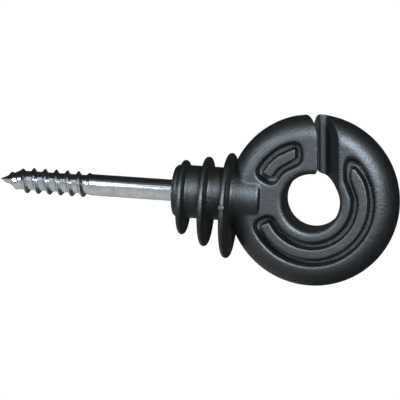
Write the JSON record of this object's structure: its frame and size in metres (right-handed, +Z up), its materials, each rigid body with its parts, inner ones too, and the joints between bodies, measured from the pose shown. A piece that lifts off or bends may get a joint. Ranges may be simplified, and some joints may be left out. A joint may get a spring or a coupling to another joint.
{
  "type": "screw-in ring fence insulator",
  "caption": "Black moulded ring insulator for electric fence wire, with an entry slot, drip flanges on its neck and a plated steel wood screw.",
  "frame": {"origin": "centre of the wire eye, halfway through the ring's thickness", "axes": "+X along the screw from its point towards the ring, +Y along the eye's axis towards the back face, +Z up out of the side of the ring with the entry slot"},
  "size_m": [0.0939, 0.0247, 0.04],
  "materials": {
    "black_plastic": "satin moulded polyolefin with a faint mottle",
    "plated_steel": "bright zinc plate on rolled wire"
  },
  "bodies": {
    "root": {"insulator_body": "black_plastic", "screw_shank": "plated_steel"}
  },
  "joints": []
}
